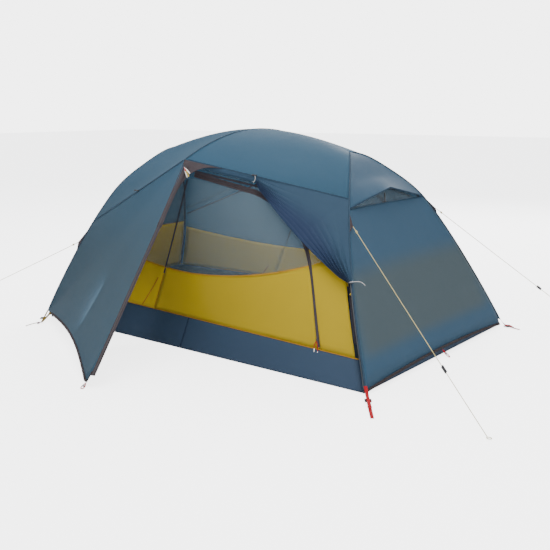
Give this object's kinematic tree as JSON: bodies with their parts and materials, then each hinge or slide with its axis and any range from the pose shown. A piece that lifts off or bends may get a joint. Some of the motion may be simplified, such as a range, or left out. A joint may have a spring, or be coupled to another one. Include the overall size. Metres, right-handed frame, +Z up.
{
  "type": "dome tent",
  "caption": "Pitched backpacking dome tent: pole frame, inner with tub floor and mesh doors, flysheet with zipped vestibules, vents and guy lines",
  "frame": {"origin": "on the ground under the ridge, at the middle of the plan", "axes": "+X along the sleeping length to the wide head end, -Y to the open front door, +Z up"},
  "size_m": [3.5816, 2.7378, 1.062],
  "materials": {
    "fly": "slate-blue coated ripstop",
    "tub": "navy coated floor cloth",
    "yellow_wall": "mustard uncoated ripstop",
    "mesh": "fine insect mesh",
    "pole": "anodised tube",
    "moulded": "moulded acetal",
    "clip": "moulded clip",
    "zip_tape": "woven zip tape",
    "zip_metal": "plated slider with cord pull",
    "reinforcement": "dark reinforcement cloth",
    "guy_cord": "braided cord",
    "webbing": "red webbing"
  },
  "bodies": {
    "tent": {"fly_roof": "fly", "fly_end_upper": "fly", "fly_end_lower_left": "fly", "fly_end_lower_right": "fly", "vent_hood_left": "fly", "vent_hood_right": "fly", "fly_front_left_panel": "fly", "fly_front_right_door": "fly", "fly_back_panels": "fly", "tub_floor": "tub", "inner_front_lower": "yellow_wall", "inner_back_lower": "yellow_wall", "inner_end_lower": "yellow_wall", "inner_front_mesh": "mesh", "inner_back_mesh": "mesh", "inner_roof_mesh": "mesh", "inner_end_mesh": "mesh", "vent_mesh": "mesh", "spine_pole": "pole", "ridge_pole": "pole", "leg_pole_front_left": "pole", "leg_pole_front_right": "pole", "leg_pole_back_left": "pole", "leg_pole_back_right": "pole", "pole_ferrules": "pole", "pole_hubs": "moulded", "ridge_clip": "moulded", "pole_tips": "moulded", "corner_buckles": "moulded", "door_toggles": "moulded", "inner_clips": "clip", "inner_zip_front": "zip_tape", "inner_zip_back": "zip_tape", "guy_patches": "reinforcement", "guy_line_front_right": "guy_cord", "guy_line_back_right": "guy_cord", "guy_line_front_left": "guy_cord", "guy_line_back_left": "guy_cord", "corner_straps": "webbing", "peg_loops": "webbing"},
    "front_flap": {"fly_front_left_flap": "fly", "front_zip_tape": "zip_tape"},
    "front_slider": {"front_zip_slider": "zip_metal"},
    "back_left_flap": {"fly_back_left_flap": "fly", "back_zip_tape": "zip_tape"},
    "back_slider": {"back_zip_slider": "zip_metal"},
    "back_right_flap": {"fly_back_right_flap": "fly"},
    "inner_door_front": {"inner_door_lower_front": "yellow_wall", "inner_door_mesh_front": "mesh"},
    "inner_door_back": {"inner_door_lower_back": "yellow_wall", "inner_door_mesh_back": "mesh"},
    "inner_slider_front": {"inner_slider_front": "zip_metal"},
    "inner_slider_back": {"inner_slider_back": "zip_metal"},
    "vent_strut_left": {"vent_strut_left": "moulded"},
    "vent_strut_right": {"vent_strut_right": "moulded"},
    "tensioner_front_right": {"guy_tensioner_front_right": "moulded"},
    "tensioner_back_right": {"guy_tensioner_back_right": "moulded"},
    "tensioner_front_left": {"guy_tensioner_front_left": "moulded"},
    "tensioner_back_left": {"guy_tensioner_back_left": "moulded"}
  },
  "joints": [
    {"name": "front_flap_fold", "type": "hinge", "parent": "tent", "child": "front_flap", "pos_m": [-0.54304, -0.57187, 0.48413], "axis": [-0.7725, 0.0286, -0.6343], "range_deg": [0, 70]},
    {"name": "back_left_flap_fold", "type": "hinge", "parent": "tent", "child": "back_left_flap", "pos_m": [-0.54304, 0.57187, 0.48413], "axis": [0.7725, 0.0286, 0.6343], "range_deg": [0, 70]},
    {"name": "back_right_flap_fold", "type": "hinge", "parent": "tent", "child": "back_right_flap", "pos_m": [0.54285, 0.66229, 0.48413], "axis": [0.7689, 0.0996, -0.6315], "range_deg": [0, 70]},
    {"name": "front_zip_travel", "type": "slide", "parent": "front_flap", "child": "front_slider", "axis": [0.0525, -0.6294, -0.7753], "range_m": [0, 0.95]},
    {"name": "back_zip_travel", "type": "slide", "parent": "back_left_flap", "child": "back_slider", "axis": [0.0525, 0.6294, -0.7753], "range_m": [0, 0.95]},
    {"name": "inner_door_front_swing", "type": "hinge", "parent": "tent", "child": "inner_door_front", "pos_m": [-0.15588, -0.53838, 0.49134], "axis": [0.3433, -0.0046, 0.9392], "range_deg": [0, 30]},
    {"name": "inner_zip_front_travel", "type": "slide", "parent": "tent", "child": "inner_slider_front", "axis": [-0.3167, 0.3008, 0.8996], "range_m": [0, 0.15]},
    {"name": "inner_door_back_swing", "type": "hinge", "parent": "tent", "child": "inner_door_back", "pos_m": [-0.15588, 0.53838, 0.49134], "axis": [-0.3433, -0.0046, -0.9392], "range_deg": [0, 30]},
    {"name": "inner_zip_back_travel", "type": "slide", "parent": "tent", "child": "inner_slider_back", "axis": [-0.3167, -0.3008, 0.8996], "range_m": [0, 0.15]},
    {"name": "vent_strut_left_fold", "type": "hinge", "parent": "tent", "child": "vent_strut_left", "pos_m": [-0.77875, 0.03, 0.72389], "axis": [-1, 0, 0], "range_deg": [0, 75]},
    {"name": "vent_strut_right_fold", "type": "hinge", "parent": "tent", "child": "vent_strut_right", "pos_m": [0.77525, -0.03, 0.72389], "axis": [1, 0, 0], "range_deg": [0, 75]},
    {"name": "guy_tensioner_front_right_travel", "type": "slide", "parent": "tent", "child": "tensioner_front_right", "axis": [0.7283, -0.4032, -0.5541], "range_m": [-0.35, 0.15]},
    {"name": "guy_tensioner_back_right_travel", "type": "slide", "parent": "tent", "child": "tensioner_back_right", "axis": [0.4636, 0.6752, -0.5737], "range_m": [-0.35, 0.15]},
    {"name": "guy_tensioner_front_left_travel", "type": "slide", "parent": "tent", "child": "tensioner_front_left", "axis": [-0.9056, -0.1198, -0.4068], "range_m": [-0.35, 0.15]},
    {"name": "guy_tensioner_back_left_travel", "type": "slide", "parent": "tent", "child": "tensioner_back_left", "axis": [-0.4698, 0.7641, -0.4422], "range_m": [-0.35, 0.15]}
  ]
}
